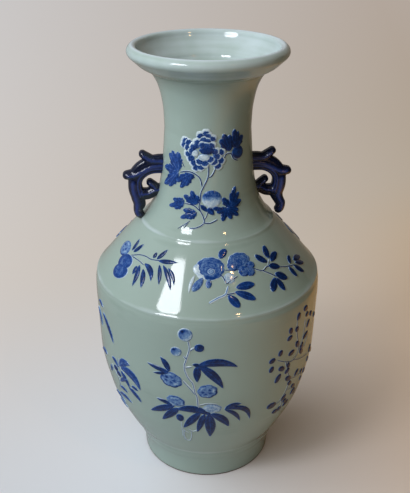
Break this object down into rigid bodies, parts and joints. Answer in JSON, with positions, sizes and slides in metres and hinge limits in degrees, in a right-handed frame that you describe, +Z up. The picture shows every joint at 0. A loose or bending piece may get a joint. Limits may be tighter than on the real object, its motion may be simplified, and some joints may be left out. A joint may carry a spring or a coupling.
{
  "type": "baluster vase",
  "caption": "Tall glazed baluster vase with a rolled mouth, waisted neck, pierced scroll handles and raised flower sprays.",
  "frame": {"origin": "middle of the foot's underside, on the floor", "axes": "+Z up along the vase's axis, handles along X, the main flower spray facing -Y"},
  "size_m": [0.2968, 0.2981, 0.58],
  "materials": {
    "celadon_glaze": "glossy pale grey-green celadon glaze",
    "cobalt_glaze": "glossy dark cobalt glaze over moulded scrolls",
    "painted_slip": "raised white slip painted in cobalt blue under a glossy glaze"
  },
  "bodies": {
    "root": {"foot": "celadon_glaze", "lower_body": "celadon_glaze", "shoulder": "celadon_glaze", "neck": "celadon_glaze", "mouth_rim": "celadon_glaze", "left_handle": "cobalt_glaze", "right_handle": "cobalt_glaze", "neck_spray_front": "painted_slip", "neck_spray_back": "painted_slip", "shoulder_spray_left": "painted_slip", "shoulder_spray_front": "painted_slip", "shoulder_spray_right": "painted_slip", "shoulder_spray_back": "painted_slip", "body_spray_front": "painted_slip", "body_spray_front_right": "painted_slip", "body_spray_back_right": "painted_slip", "body_spray_back_left": "painted_slip", "body_spray_front_left": "painted_slip"}
  },
  "joints": []
}
